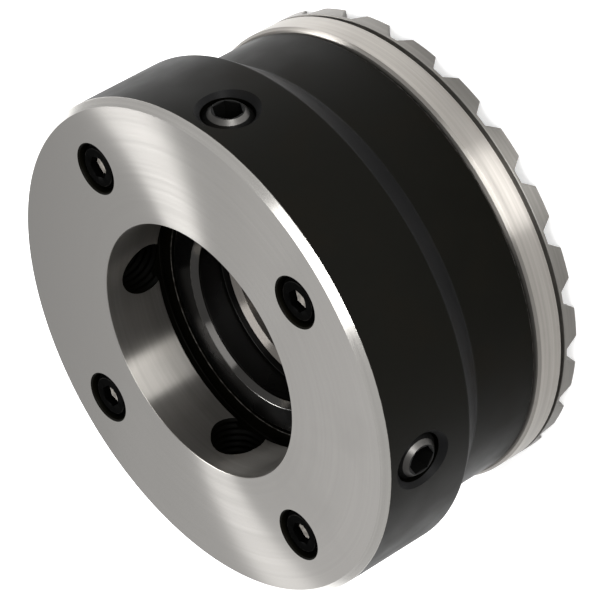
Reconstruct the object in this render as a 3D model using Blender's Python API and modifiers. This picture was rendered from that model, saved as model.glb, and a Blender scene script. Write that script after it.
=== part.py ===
"""Taper adapter with four face screws and four radial adjusting screws.

The adapter stands on the teeth of its coupling ring, with its ground front face up.
Lengths are in metres, +Z runs up the turning axis, and the origin is on the axis
at the level of the tooth tips.
"""
import math

import bpy
import bmesh
from mathutils import Matrix

NAME = "taper_adapter"

# Running clearance between pieces that touch on the real adapter
CLEARANCE = 0.0003

# Taper sleeve, from its bore outwards
SEAT_MOUTH_RADIUS = 0.0176
SEAT_TAPER = 7 / 48
LIP_STEP = 0.0004
RELIEF_STEP = 0.0020
SLEEVE_WALL = 0.0064
SLEEVE_FLANGE_WIDTH = 0.0040
SLEEVE_FLANGE_THICKNESS = 0.0045
LIP_LENGTH = 0.0015
RELIEF_LENGTH = 0.00725
SEAT_LENGTH = 0.0175
SLEEVE_CHAMFER = 0.0006
SLEEVE_PIN_RADIUS = 0.0010
SLEEVE_PIN_GRIP = 0.0030

# Seals, both of one section
SEAL_SECTION = 0.0014
SEAL_WALL = 0.0012
SLEEVE_SEAL_HEIGHT = 0.0120

# Adapter body, outside
NECK_WALL = 0.0048
FLANGE_STEP = 0.0043
FLANGE_LENGTH = 0.0195
CONE_LENGTH = 0.0055
FRONT_CHAMFER = 0.00135
EDGE_CHAMFER = 0.0005

# Adapter body, socket in the front face
SOCKET_STEP = 0.0012
LAND_LENGTH = 0.0124
UNDERCUT_DEPTH = 0.0024
UNDERCUT_WIDTH = 0.0026

# Face screws, M5 cap screws in counterbores
FACE_SCREW_COUNT = 4
FACE_SCREW_WALL = 0.0034
FACE_SCREW_RADIUS = 0.0024
FACE_SCREW_HOLE_RADIUS = 0.0028
FACE_SCREW_HEAD_RADIUS = 0.00425
FACE_SCREW_HEAD_HEIGHT = 0.0050
FACE_SCREW_SINK = 0.0006
FACE_SCREW_SOCKET_DEPTH = 0.0025
FACE_SCREW_KEY = 0.0040
COUNTERBORE_RADIUS = 0.0049
SCREW_EDGE = 0.0005

# Radial adjusting screws, M10 with a soft pad in the tip
ADJUSTER_COUNT = 4
ADJUSTER_DEPTH = 0.0090
ADJUSTER_RADIUS = 0.0047
ADJUSTER_LENGTH = 0.0160
ADJUSTER_SINK = 0.0003
ADJUSTER_SOCKET_DEPTH = 0.0050
COUNTERSINK = 0.0012
PAD_RADIUS = 0.0032
PAD_THICKNESS = 0.0012
PAD_STEM_RADIUS = 0.0020
PAD_STEM_LENGTH = 0.0022
ADJUSTER_KEY = 0.0050

# Coupling ring with face teeth
RING_STEP = 0.0008
RING_BAND_LENGTH = 0.00545
RING_GROOVE_WIDTH = 0.0009
RING_GROOVE_DEPTH = 0.0015
RING_RIM_LENGTH = 0.0007
RING_BORE_STEP = 0.0038
RECESS_STEP = 0.0008
RECESS_WALL = 0.0010
TOOTH_COUNT = 24
TOOTH_HEIGHT = 0.0024
TOOTH_GAP_MOUTH = 0.0062
TOOTH_GAP_ROOT = 0.0026

# Dowels between body and ring
DOWEL_COUNT = 2
DOWEL_RADIUS = 0.0025
DOWEL_GRIP = 0.0060
TIP_INSET = 0.0005

# Facets round the axis of large and small turned pieces
LARGE_STEPS = 72
SLEEVE_STEPS = 48
SEAL_STEPS = 40
SEAL_SIDES = 6
SMALL_STEPS = 20
CUT_STEPS = 24
OVERSHOOT = 0.0010

# Radii that follow from the values above, from the bore outwards
LIP_RADIUS = SEAT_MOUTH_RADIUS + LIP_STEP
RELIEF_RADIUS = LIP_RADIUS + RELIEF_STEP
SLEEVE_RADIUS = LIP_RADIUS + SLEEVE_WALL
SLEEVE_FLANGE_RADIUS = SLEEVE_RADIUS + SLEEVE_FLANGE_WIDTH
SOCKET_RADIUS = SLEEVE_RADIUS + SOCKET_STEP
SEAL_GROOVE_INNER = SLEEVE_FLANGE_RADIUS + CLEARANCE + SEAL_WALL
SEAL_GROOVE_OUTER = SEAL_GROOVE_INNER + SEAL_SECTION + 2 * CLEARANCE
SCREW_CIRCLE = SEAL_GROOVE_OUTER + FACE_SCREW_WALL + FACE_SCREW_HOLE_RADIUS
NECK_RADIUS = SCREW_CIRCLE + FACE_SCREW_HOLE_RADIUS + NECK_WALL
FLANGE_RADIUS = NECK_RADIUS + FLANGE_STEP
RING_RADIUS = NECK_RADIUS + RING_STEP
RING_BORE_RADIUS = SLEEVE_RADIUS - RING_BORE_STEP
TAPPED_RADIUS = FACE_SCREW_RADIUS + CLEARANCE
RECESS_RADIUS = SCREW_CIRCLE + TAPPED_RADIUS + RECESS_WALL
ADJUSTER_HOLE_RADIUS = ADJUSTER_RADIUS + CLEARANCE

# Heights that follow, from the tooth tips upwards
RECESS_HEIGHT = TOOTH_HEIGHT + RECESS_STEP
RIM_TOP = TOOTH_HEIGHT + RING_RIM_LENGTH
GROOVE_TOP = RIM_TOP + RING_GROOVE_WIDTH
RING_TOP = GROOVE_TOP + RING_BAND_LENGTH
BODY_BASE = RING_TOP + CLEARANCE
SEAT_TOP = BODY_BASE + SEAT_LENGTH
RELIEF_TOP = SEAT_TOP + RELIEF_LENGTH
SLEEVE_TOP = RELIEF_TOP + LIP_LENGTH
LAND_BASE = SLEEVE_TOP + UNDERCUT_WIDTH
FRONT = LAND_BASE + LAND_LENGTH
FLANGE_BASE = FRONT - FLANGE_LENGTH
NECK_TOP = FLANGE_BASE - CONE_LENGTH
SLEEVE_FLANGE_TOP = BODY_BASE + SLEEVE_FLANGE_THICKNESS
ADJUSTER_HEIGHT = FRONT - ADJUSTER_DEPTH

# Angles of the screws about the axis
FACE_SCREW_ANGLES = [2 * math.pi * i / FACE_SCREW_COUNT for i in range(FACE_SCREW_COUNT)]
ADJUSTER_ANGLES = [2 * math.pi * (i + 0.5) / ADJUSTER_COUNT for i in range(ADJUSTER_COUNT)]
DOWEL_ANGLES = [math.pi / FACE_SCREW_COUNT + 2 * math.pi * i / DOWEL_COUNT for i in range(DOWEL_COUNT)]
SLEEVE_PIN_ANGLE = math.pi / FACE_SCREW_COUNT


def clear_scene():
    """Remove whatever the scene holds."""
    for ob in list(bpy.data.objects):
        bpy.data.objects.remove(ob, do_unlink=True)


def make_collection(name):
    """Return a new collection linked to the scene."""
    collection = bpy.data.collections.new(name)
    bpy.context.scene.collection.children.link(collection)
    return collection


def make_material(name, colour, roughness, metallic):
    """Return a Principled material of one colour."""
    material = bpy.data.materials.new(name)
    material.use_nodes = True
    shader = material.node_tree.nodes["Principled BSDF"]
    shader.inputs["Base Color"].default_value = (*colour, 1.0)
    shader.inputs["Roughness"].default_value = roughness
    shader.inputs["Metallic"].default_value = metallic
    material.diffuse_color = (*colour, 1.0)
    return material


def make_object(name, mesh, collection, material=None):
    """Link a mesh as an object, with its material."""
    ob = bpy.data.objects.new(name, mesh)
    collection.objects.link(ob)
    if material:
        mesh.materials.clear()
        mesh.materials.append(material)
    return ob


def turned(name, profile, steps, collection, material=None, closed=True):
    """Turn a profile of (radius, height) points about Z with a Screw modifier.

    A closed profile is a ring's section. An open one starts and ends on the axis.
    """
    bm = bmesh.new()
    verts = [bm.verts.new((radius, 0.0, height)) for radius, height in profile]
    for start, end in zip(verts, verts[1:]):
        bm.edges.new((start, end))
    if closed:
        bm.edges.new((verts[-1], verts[0]))
    mesh = bpy.data.meshes.new(name)
    bm.to_mesh(mesh)
    bm.free()
    ob = make_object(name, mesh, collection, material)
    screw = ob.modifiers.new("turn", "SCREW")
    screw.axis = "Z"
    screw.steps = steps
    screw.render_steps = steps
    screw.use_merge_vertices = True
    screw.merge_threshold = 0.000001
    screw.use_smooth_shade = True
    return ob


def as_cutter(ob):
    """Mark an object as a cutter that is neither rendered nor built."""
    ob.hide_render = True
    ob.display_type = "WIRE"
    return ob


def cut(ob, cutters):
    """Subtract each cutter from the object."""
    for cutter in cutters:
        boolean = ob.modifiers.new("cut_" + cutter.name, "BOOLEAN")
        boolean.operation = "DIFFERENCE"
        boolean.solver = "EXACT"
        boolean.object = cutter


def baked(ob):
    """Return an object's evaluated mesh with sharp edges marked, and remove the object."""
    depsgraph = bpy.context.evaluated_depsgraph_get()
    mesh = bpy.data.meshes.new_from_object(ob.evaluated_get(depsgraph))
    bpy.data.objects.remove(ob, do_unlink=True)
    mesh.set_sharp_from_angle(angle=math.radians(35))
    return mesh


def on_circle(ob, radius, angle, height):
    """Stand an object upright on a circle about the axis."""
    ob.location = (radius * math.cos(angle), radius * math.sin(angle), height)
    ob.rotation_euler = (0.0, 0.0, angle)


def radially(ob, radius, angle, height):
    """Lay an object's own Z axis outwards along a radius."""
    ob.location = (radius * math.cos(angle), radius * math.sin(angle), height)
    ob.rotation_euler = (0.0, math.pi / 2, angle)


def rod_profile(radius, top, bottom, edge):
    """Profile of a round rod with chamfered ends."""
    return [
        (0.0, top),
        (radius - edge, top),
        (radius, top - edge),
        (radius, bottom + edge),
        (radius - edge, bottom),
        (0.0, bottom),
    ]


def hex_cutter(name, key, depth, collection):
    """Hexagon socket that opens upwards at the origin's level."""
    mesh = bpy.data.meshes.new(name)
    bm = bmesh.new()
    corner = key / 2 / math.cos(math.pi / 6)
    height = depth + OVERSHOOT
    middle = Matrix.Translation((0.0, 0.0, OVERSHOOT - height / 2))
    bmesh.ops.create_cone(
        bm, cap_ends=True, segments=6, radius1=corner, radius2=corner, depth=height, matrix=middle
    )
    bm.to_mesh(mesh)
    bm.free()
    return as_cutter(make_object(name, mesh, collection))


def hole_cutter(name, radius, top, bottom, collection):
    """Plain round hole between two heights."""
    profile = [(0.0, top), (radius, top), (radius, bottom), (0.0, bottom)]
    return as_cutter(turned(name, profile, CUT_STEPS, collection, closed=False))


def seal_profile(middle, height):
    """Round section of a seal about a middle radius and height."""
    radius = SEAL_SECTION / 2
    turns = [-2 * math.pi * i / SEAL_SIDES for i in range(SEAL_SIDES)]
    return [(middle + radius * math.cos(turn), height + radius * math.sin(turn)) for turn in turns]


def build_body(parts, cutters, material):
    """Adapter body: flange, cone and neck, with the socket and the sleeve's seat inside."""
    seal_top = BODY_BASE + SEAL_SECTION + CLEARANCE
    profile = [
        (SOCKET_RADIUS + EDGE_CHAMFER, FRONT),
        (FLANGE_RADIUS - FRONT_CHAMFER, FRONT),
        (FLANGE_RADIUS, FRONT - FRONT_CHAMFER),
        (FLANGE_RADIUS, FLANGE_BASE),
        (NECK_RADIUS, NECK_TOP),
        (NECK_RADIUS, BODY_BASE + EDGE_CHAMFER),
        (NECK_RADIUS - EDGE_CHAMFER, BODY_BASE),
        (SEAL_GROOVE_OUTER, BODY_BASE),
        (SEAL_GROOVE_OUTER, seal_top),
        (SEAL_GROOVE_INNER, seal_top),
        (SEAL_GROOVE_INNER, BODY_BASE),
        (SLEEVE_FLANGE_RADIUS + CLEARANCE, BODY_BASE),
        (SLEEVE_FLANGE_RADIUS + CLEARANCE, SLEEVE_FLANGE_TOP + CLEARANCE),
        (SLEEVE_RADIUS + CLEARANCE, SLEEVE_FLANGE_TOP + CLEARANCE),
        (SLEEVE_RADIUS + CLEARANCE, SLEEVE_TOP),
        (SOCKET_RADIUS + UNDERCUT_DEPTH, SLEEVE_TOP),
        (SOCKET_RADIUS + UNDERCUT_DEPTH, LAND_BASE),
        (SOCKET_RADIUS, LAND_BASE),
        (SOCKET_RADIUS, FRONT - EDGE_CHAMFER),
    ]
    body = turned("body_blank", profile, LARGE_STEPS, parts, material)
    cutting = []
    floor = FRONT - FACE_SCREW_SINK - FACE_SCREW_HEAD_HEIGHT - CLEARANCE
    for number, angle in enumerate(FACE_SCREW_ANGLES, 1):
        stepped = [
            (0.0, FRONT + OVERSHOOT),
            (COUNTERBORE_RADIUS, FRONT + OVERSHOOT),
            (COUNTERBORE_RADIUS, floor),
            (FACE_SCREW_HOLE_RADIUS, floor),
            (FACE_SCREW_HOLE_RADIUS, BODY_BASE - OVERSHOOT),
            (0.0, BODY_BASE - OVERSHOOT),
        ]
        hole = as_cutter(turned(f"counterbore_{number}", stepped, CUT_STEPS, cutters, closed=False))
        on_circle(hole, SCREW_CIRCLE, angle, 0.0)
        cutting.append(hole)
    for number, angle in enumerate(ADJUSTER_ANGLES, 1):
        sunk = [
            (0.0, OVERSHOOT),
            (ADJUSTER_HOLE_RADIUS + COUNTERSINK + OVERSHOOT, OVERSHOOT),
            (ADJUSTER_HOLE_RADIUS, -COUNTERSINK),
            (ADJUSTER_HOLE_RADIUS, SOCKET_RADIUS - FLANGE_RADIUS - OVERSHOOT),
            (0.0, SOCKET_RADIUS - FLANGE_RADIUS - OVERSHOOT),
        ]
        hole = as_cutter(turned(f"adjuster_hole_{number}", sunk, CUT_STEPS, cutters, closed=False))
        radially(hole, FLANGE_RADIUS, angle, ADJUSTER_HEIGHT)
        cutting.append(hole)
    for number, angle in enumerate(DOWEL_ANGLES, 1):
        top = BODY_BASE + DOWEL_GRIP + CLEARANCE
        hole = hole_cutter(
            f"body_dowel_hole_{number}", DOWEL_RADIUS + CLEARANCE, top, BODY_BASE - OVERSHOOT, cutters
        )
        on_circle(hole, SCREW_CIRCLE, angle, 0.0)
        cutting.append(hole)
    shoulder = SLEEVE_FLANGE_TOP + CLEARANCE
    hole = hole_cutter(
        "body_pin_hole",
        SLEEVE_PIN_RADIUS + CLEARANCE,
        shoulder + SLEEVE_PIN_GRIP + CLEARANCE,
        shoulder - OVERSHOOT,
        cutters,
    )
    on_circle(hole, SLEEVE_RADIUS + SLEEVE_FLANGE_WIDTH / 2, SLEEVE_PIN_ANGLE, 0.0)
    cutting.append(hole)
    cut(body, cutting)
    make_object("adapter_body", baked(body), parts, material)


def build_sleeve(parts, cutters, material):
    """Taper sleeve: a lip, a relief and the tapered seat, held by a flange at its base."""
    seat_base_radius = SEAT_MOUTH_RADIUS - SEAT_LENGTH * SEAT_TAPER
    groove_inner = SLEEVE_RADIUS - SEAL_SECTION - CLEARANCE
    groove_base = BODY_BASE + SLEEVE_SEAL_HEIGHT - SEAL_SECTION / 2 - CLEARANCE
    groove_top = groove_base + SEAL_SECTION + 2 * CLEARANCE
    profile = [
        (LIP_RADIUS + SLEEVE_CHAMFER, SLEEVE_TOP),
        (SLEEVE_RADIUS - SLEEVE_CHAMFER, SLEEVE_TOP),
        (SLEEVE_RADIUS, SLEEVE_TOP - SLEEVE_CHAMFER),
        (SLEEVE_RADIUS, groove_top),
        (groove_inner, groove_top),
        (groove_inner, groove_base),
        (SLEEVE_RADIUS, groove_base),
        (SLEEVE_RADIUS, SLEEVE_FLANGE_TOP),
        (SLEEVE_FLANGE_RADIUS, SLEEVE_FLANGE_TOP),
        (SLEEVE_FLANGE_RADIUS, BODY_BASE),
        (seat_base_radius, BODY_BASE),
        (SEAT_MOUTH_RADIUS, SEAT_TOP),
        (RELIEF_RADIUS, SEAT_TOP + SLEEVE_CHAMFER),
        (RELIEF_RADIUS, RELIEF_TOP),
        (LIP_RADIUS, RELIEF_TOP),
        (LIP_RADIUS, SLEEVE_TOP - SLEEVE_CHAMFER),
    ]
    sleeve = turned("sleeve_blank", profile, SLEEVE_STEPS, parts, material)
    hole = hole_cutter(
        "sleeve_pin_hole",
        SLEEVE_PIN_RADIUS + CLEARANCE,
        SLEEVE_FLANGE_TOP + OVERSHOOT,
        BODY_BASE - OVERSHOOT,
        cutters,
    )
    on_circle(hole, SLEEVE_RADIUS + SLEEVE_FLANGE_WIDTH / 2, SLEEVE_PIN_ANGLE, 0.0)
    cut(sleeve, [hole])
    make_object("taper_sleeve", baked(sleeve), parts, material)


def tooth_gap(name, collection):
    """Gap between two face teeth: a cube drawn out along X, its sides meeting the axis."""
    inner = RECESS_RADIUS - OVERSHOOT
    outer = RING_RADIUS + OVERSHOOT
    flank = (TOOTH_GAP_MOUTH - TOOTH_GAP_ROOT) / 2 / TOOTH_HEIGHT
    bm = bmesh.new()
    bmesh.ops.create_cube(bm, size=1.0)
    for vert in bm.verts:
        radius = outer if vert.co.x > 0 else inner
        height = TOOTH_HEIGHT if vert.co.z > 0 else -OVERSHOOT
        half = TOOTH_GAP_ROOT / 2 + (TOOTH_HEIGHT - height) * flank
        side = math.copysign(half * radius / RING_RADIUS, vert.co.y)
        vert.co = (radius, side, height)
    mesh = bpy.data.meshes.new(name)
    bm.to_mesh(mesh)
    bm.free()
    return as_cutter(make_object(name, mesh, collection))


def build_ring(parts, cutters, material):
    """Coupling ring: a bright band, a turned groove and a crown of radial face teeth."""
    profile = [
        (RING_BORE_RADIUS, RING_TOP),
        (RING_RADIUS - EDGE_CHAMFER, RING_TOP),
        (RING_RADIUS, RING_TOP - EDGE_CHAMFER),
        (RING_RADIUS, GROOVE_TOP),
        (RING_RADIUS - RING_GROOVE_DEPTH, GROOVE_TOP),
        (RING_RADIUS - RING_GROOVE_DEPTH, RIM_TOP),
        (RING_RADIUS, RIM_TOP),
        (RING_RADIUS, 0.0),
        (RECESS_RADIUS, 0.0),
        (RECESS_RADIUS, RECESS_HEIGHT),
        (RING_BORE_RADIUS, RECESS_HEIGHT),
    ]
    ring = turned("ring_blank", profile, LARGE_STEPS, parts, material)
    cutting = []
    for number in range(TOOTH_COUNT):
        gap = tooth_gap(f"tooth_gap_{number + 1}", cutters)
        gap.rotation_euler.z = 2 * math.pi * number / TOOTH_COUNT
        cutting.append(gap)
    for number, angle in enumerate(FACE_SCREW_ANGLES, 1):
        hole = hole_cutter(
            f"tapped_hole_{number}", TAPPED_RADIUS, RING_TOP + OVERSHOOT, RECESS_HEIGHT - OVERSHOOT, cutters
        )
        on_circle(hole, SCREW_CIRCLE, angle, 0.0)
        cutting.append(hole)
    for number, angle in enumerate(DOWEL_ANGLES, 1):
        hole = hole_cutter(
            f"ring_dowel_hole_{number}",
            DOWEL_RADIUS + CLEARANCE,
            RING_TOP + OVERSHOOT,
            RECESS_HEIGHT - OVERSHOOT,
            cutters,
        )
        on_circle(hole, SCREW_CIRCLE, angle, 0.0)
        cutting.append(hole)
    cut(ring, cutting)
    make_object("coupling_ring", baked(ring), parts, material)


def build_face_screws(parts, cutters, material):
    """Four cap screws that clamp the body to the coupling ring."""
    length = FRONT - FACE_SCREW_SINK - RECESS_HEIGHT - TIP_INSET
    profile = [
        (0.0, 0.0),
        (FACE_SCREW_HEAD_RADIUS - SCREW_EDGE, 0.0),
        (FACE_SCREW_HEAD_RADIUS, -SCREW_EDGE),
        (FACE_SCREW_HEAD_RADIUS, -FACE_SCREW_HEAD_HEIGHT),
        (FACE_SCREW_RADIUS, -FACE_SCREW_HEAD_HEIGHT),
        (FACE_SCREW_RADIUS, SCREW_EDGE - length),
        (FACE_SCREW_RADIUS - SCREW_EDGE, -length),
        (0.0, -length),
    ]
    screw = turned("face_screw", profile, SMALL_STEPS, parts, material, closed=False)
    socket = hex_cutter("face_screw_hexagon", FACE_SCREW_KEY, FACE_SCREW_SOCKET_DEPTH, cutters)
    cut(screw, [socket])
    mesh = baked(screw)
    for number, angle in enumerate(FACE_SCREW_ANGLES, 1):
        ob = make_object(f"face_screw_{number}", mesh, parts, material)
        on_circle(ob, SCREW_CIRCLE, angle, FRONT - FACE_SCREW_SINK)


def build_adjusters(parts, cutters, material, pad_material):
    """Four set screws that travel along their radii, each with a pad in its tip."""
    pocket_radius = PAD_STEM_RADIUS + CLEARANCE
    pocket_top = PAD_STEM_LENGTH - ADJUSTER_LENGTH
    profile = rod_profile(ADJUSTER_RADIUS, 0.0, -ADJUSTER_LENGTH, SCREW_EDGE)[:-1]
    profile += [
        (pocket_radius, -ADJUSTER_LENGTH),
        (pocket_radius, pocket_top),
        (0.0, pocket_top),
    ]
    screw = turned("adjusting_screw", profile, SMALL_STEPS, parts, material, closed=False)
    socket = hex_cutter("adjusting_screw_hexagon", ADJUSTER_KEY, ADJUSTER_SOCKET_DEPTH, cutters)
    cut(screw, [socket])
    mesh = baked(screw)
    pad_profile = [
        (0.0, PAD_STEM_LENGTH - CLEARANCE),
        (PAD_STEM_RADIUS, PAD_STEM_LENGTH - CLEARANCE),
        (PAD_STEM_RADIUS, -CLEARANCE),
        (PAD_RADIUS, -CLEARANCE),
        (PAD_RADIUS, -CLEARANCE - PAD_THICKNESS),
        (0.0, -CLEARANCE - PAD_THICKNESS),
    ]
    pad_mesh = baked(turned("tip_pad", pad_profile, SMALL_STEPS, parts, pad_material, closed=False))
    for number, angle in enumerate(ADJUSTER_ANGLES, 1):
        ob = make_object(f"adjusting_screw_{number}", mesh, parts, material)
        radially(ob, FLANGE_RADIUS - ADJUSTER_SINK, angle, ADJUSTER_HEIGHT)
        pad = make_object(f"tip_pad_{number}", pad_mesh, parts, pad_material)
        pad.parent = ob
        pad.location.z = -ADJUSTER_LENGTH


def build_pins(parts, material):
    """Dowels between body and ring, and the pin that keeps the sleeve from turning."""
    top = BODY_BASE + DOWEL_GRIP
    bottom = RECESS_HEIGHT + TIP_INSET
    dowel_mesh = baked(
        turned("dowel", rod_profile(DOWEL_RADIUS, top, bottom, SCREW_EDGE), SMALL_STEPS, parts, material, False)
    )
    for number, angle in enumerate(DOWEL_ANGLES, 1):
        ob = make_object(f"dowel_pin_{number}", dowel_mesh, parts, material)
        on_circle(ob, SCREW_CIRCLE, angle, 0.0)
    top = SLEEVE_FLANGE_TOP + CLEARANCE + SLEEVE_PIN_GRIP
    bottom = BODY_BASE
    edge = SLEEVE_PIN_RADIUS / 4
    pin_mesh = baked(
        turned("pin", rod_profile(SLEEVE_PIN_RADIUS, top, bottom, edge), SMALL_STEPS, parts, material, False)
    )
    pin = make_object("sleeve_pin", pin_mesh, parts, material)
    on_circle(pin, SLEEVE_RADIUS + SLEEVE_FLANGE_WIDTH / 2, SLEEVE_PIN_ANGLE, 0.0)


def build_seals(parts, material):
    """Seal round the sleeve, and seal between body and ring."""
    section = SEAL_SECTION / 2
    sleeve_profile = seal_profile(SLEEVE_RADIUS - section, BODY_BASE + SLEEVE_SEAL_HEIGHT)
    turned("sleeve_seal", sleeve_profile, SEAL_STEPS, parts, material)
    joint_profile = seal_profile(SEAL_GROOVE_INNER + CLEARANCE + section, BODY_BASE + section)
    turned("joint_seal", joint_profile, SEAL_STEPS, parts, material)


def main():
    """Build the adapter."""
    clear_scene()
    parts = make_collection(NAME)
    cutters = make_collection("cutters")
    black_steel = make_material("black_oxide_steel", (0.020, 0.019, 0.017), 0.42, 0.60)
    ground_steel = make_material("ground_steel", (0.56, 0.53, 0.49), 0.28, 1.0)
    hard_steel = make_material("hardened_steel", (0.22, 0.21, 0.20), 0.30, 1.0)
    screw_steel = make_material("black_screw_steel", (0.012, 0.012, 0.012), 0.38, 0.70)
    bronze = make_material("pad_bronze", (0.60, 0.40, 0.18), 0.35, 1.0)
    rubber = make_material("seal_rubber", (0.02, 0.02, 0.02), 0.60, 0.0)
    build_body(parts, cutters, black_steel)
    build_sleeve(parts, cutters, hard_steel)
    build_ring(parts, cutters, ground_steel)
    build_face_screws(parts, cutters, screw_steel)
    build_adjusters(parts, cutters, screw_steel, bronze)
    build_pins(parts, ground_steel)
    build_seals(parts, rubber)
    cutters.hide_render = True


main()
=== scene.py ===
"""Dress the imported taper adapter: turned pieces, screws, threads, finishes, stage and camera.

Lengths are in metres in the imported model's frame: +Z runs up the turning axis, and the
adapter stands on the teeth of its coupling ring with its ground face up.
"""

import math

import bmesh
import bpy
from bpy.props import FloatProperty, FloatVectorProperty, IntProperty, PointerProperty
from mathutils import Matrix, Vector


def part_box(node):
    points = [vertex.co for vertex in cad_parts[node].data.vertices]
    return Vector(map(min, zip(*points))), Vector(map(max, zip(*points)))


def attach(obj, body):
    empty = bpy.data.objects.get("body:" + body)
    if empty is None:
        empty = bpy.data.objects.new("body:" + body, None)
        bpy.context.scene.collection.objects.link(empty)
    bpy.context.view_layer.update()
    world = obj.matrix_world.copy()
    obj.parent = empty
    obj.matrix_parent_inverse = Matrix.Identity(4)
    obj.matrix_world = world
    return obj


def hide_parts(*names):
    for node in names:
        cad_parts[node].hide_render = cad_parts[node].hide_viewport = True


bl_info = {
    "name": "Taper Adapter",
    "version": (1, 0, 0),
    "blender": (4, 5, 0),
    "location": "View3D > Sidebar > Adapter",
    "description": "Builds a flanged taper adapter piece by piece, with its finishes and a stage",
    "category": "Add Mesh",
}

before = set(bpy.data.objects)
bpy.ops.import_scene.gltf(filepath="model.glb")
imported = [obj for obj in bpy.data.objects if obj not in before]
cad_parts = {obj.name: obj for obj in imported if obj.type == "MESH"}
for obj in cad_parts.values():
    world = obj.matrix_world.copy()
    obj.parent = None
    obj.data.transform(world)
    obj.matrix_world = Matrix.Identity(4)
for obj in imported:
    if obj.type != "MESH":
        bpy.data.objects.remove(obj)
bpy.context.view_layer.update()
BODY_LOW, BODY_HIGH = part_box("adapter_body")
SLEEVE_LOW, SLEEVE_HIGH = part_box("taper_sleeve")
RING_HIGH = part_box("coupling_ring")[1]

# Finishes of a turned section, in the order of the piece's material slots
BLACK, GROUND, POLISHED, BROKEN, CONE = range(5)

# Rounding, finish and wear of a section's corner where it gives none of its own
PLAIN_CORNER = (0.0001, BLACK, 1.0)

# Shortest straight stretch that gets support points, and their distance from its ends
LONG_STRETCH = 0.0006
SUPPORT = 0.00012

# How far a cutter reaches past what it cuts, and the room round a pin in its hole
OVERSHOOT = 0.001
PIN_ROOM = 0.0003

# Side of the adapter on which the ground face is painted darker, a painted shade standing in for a
# dimmer reflection there, and the share of the flange's radius at which the grinding lay runs
# straight
PAINTED_SHADE_SIDE = math.radians(42.0)
LAY_START = 0.44

# Softboxes: name, azimuth, elevation, distance, width, height and strength
LAMPS = (
    ("overhead_softbox", -80.0, 57.0, 1.3, 0.95, 0.36, 3.8),
    ("face_softbox", 55.0, 49.0, 2.4, 0.50, 0.60, 87.0),
    ("band_softbox", -92.0, 14.0, 1.1, 0.68, 0.35, 20.5),
)


# Sizes and colours that a user would change


def length(name, default, description):
    """Return a length property in metres."""
    return FloatProperty(
        name=name, description=description, default=default, min=0.0, precision=5, unit="LENGTH"
    )


def colour(name, default, description):
    """Return a linear colour property."""
    return FloatVectorProperty(
        name=name, description=description, default=default, min=0.0, max=1.0, subtype="COLOR"
    )


def share(name, default, description, highest=1.0):
    """Return a property between nothing and a highest value."""
    return FloatProperty(name=name, description=description, default=default, min=0.0, max=highest)


def angle(name, default, description):
    """Return an angle property, given in degrees."""
    return FloatProperty(
        name=name, description=description, default=math.radians(default), subtype="ANGLE"
    )


class BodySizes(bpy.types.PropertyGroup):
    """Sizes of the adapter body."""

    flange_radius: length("Flange radius", BODY_HIGH.x, "Outer radius of the flange")
    neck_radius: length("Neck radius", 0.0457, "Outer radius of the neck behind the cone")
    socket_radius: length("Socket radius", 0.0256, "Radius of the ground land in the socket")
    undercut_radius: length("Undercut radius", 0.0280, "Radius of the groove behind the land")
    front: length("Front", BODY_HIGH.z, "Height of the ground front face")
    base: length("Base", BODY_LOW.z, "Height of the body's rear face")
    flange_base: length("Flange base", 0.0305, "Height at which the flange ends")
    neck_top: length("Neck top", 0.0246, "Height at which the cone meets the neck")
    land_base: length("Land base", 0.0386, "Height at which the land ends")
    undercut_base: length("Undercut base", 0.0360, "Height of the undercut's lower wall")
    front_chamfer: length("Front chamfer", 0.00135, "Chamfer between front face and flange")
    edge_chamfer: length("Edge chamfer", 0.0005, "Chamfer of the neck's end")
    mouth_chamfer: length("Mouth chamfer", 0.0001, "Chamfer of the socket's mouth")
    seat_radius: length("Seat radius", 0.0247, "Bore that holds the sleeve")
    seat_flange_radius: length("Seat flange radius", 0.0287, "Bore for the sleeve's flange")
    seat_flange_top: length("Seat flange top", 0.01455, "Shoulder over the sleeve's flange")
    groove_inner: length("Groove inner radius", 0.0299, "Inner wall of the rear seal groove")
    groove_outer: length("Groove outer radius", 0.0319, "Outer wall of the rear seal groove")
    groove_top: length("Groove top", 0.01145, "Floor of the rear seal groove")


class SleeveSizes(bpy.types.PropertyGroup):
    """Sizes of the taper sleeve."""

    radius: length("Sleeve radius", 0.0244, "Outer radius of the sleeve")
    flange_radius: length("Flange radius", SLEEVE_HIGH.x, "Radius of the flange at its base")
    flange_top: length("Flange top", 0.01425, "Height of the flange's shoulder")
    top: length("Top", SLEEVE_HIGH.z, "Height of the annular front face")
    base: length("Base", SLEEVE_LOW.z, "Height of the rear face")
    lip_radius: length("Lip radius", 0.0180, "Radius of the lip at the mouth")
    relief_radius: length("Relief radius", 0.0200, "Radius of the relief behind the lip")
    relief_top: length("Relief top", 0.0345, "Height at which the relief meets the lip")
    mouth_radius: length("Seat mouth radius", 0.0176, "Wide end of the tapered seat")
    seat_top: length("Seat top", 0.02725, "Height of the seat's wide end")
    seat_base_radius: length("Seat base radius", 0.01505, "Narrow end of the tapered seat")
    chamfer: length("Chamfer", 0.0006, "Chamfers of the annular face")
    lip_chamfer: length("Lip chamfer", 0.0011, "Chamfer of the lip")
    lead_in: length("Lead-in", 0.0009, "Chamfer at the seat's wide end")
    groove_radius: length("Groove radius", 0.0227, "Floor of the seal groove")
    groove_base: length("Groove base", 0.02075, "Lower wall of the seal groove")
    groove_top: length("Groove top", 0.02275, "Upper wall of the seal groove")


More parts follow.
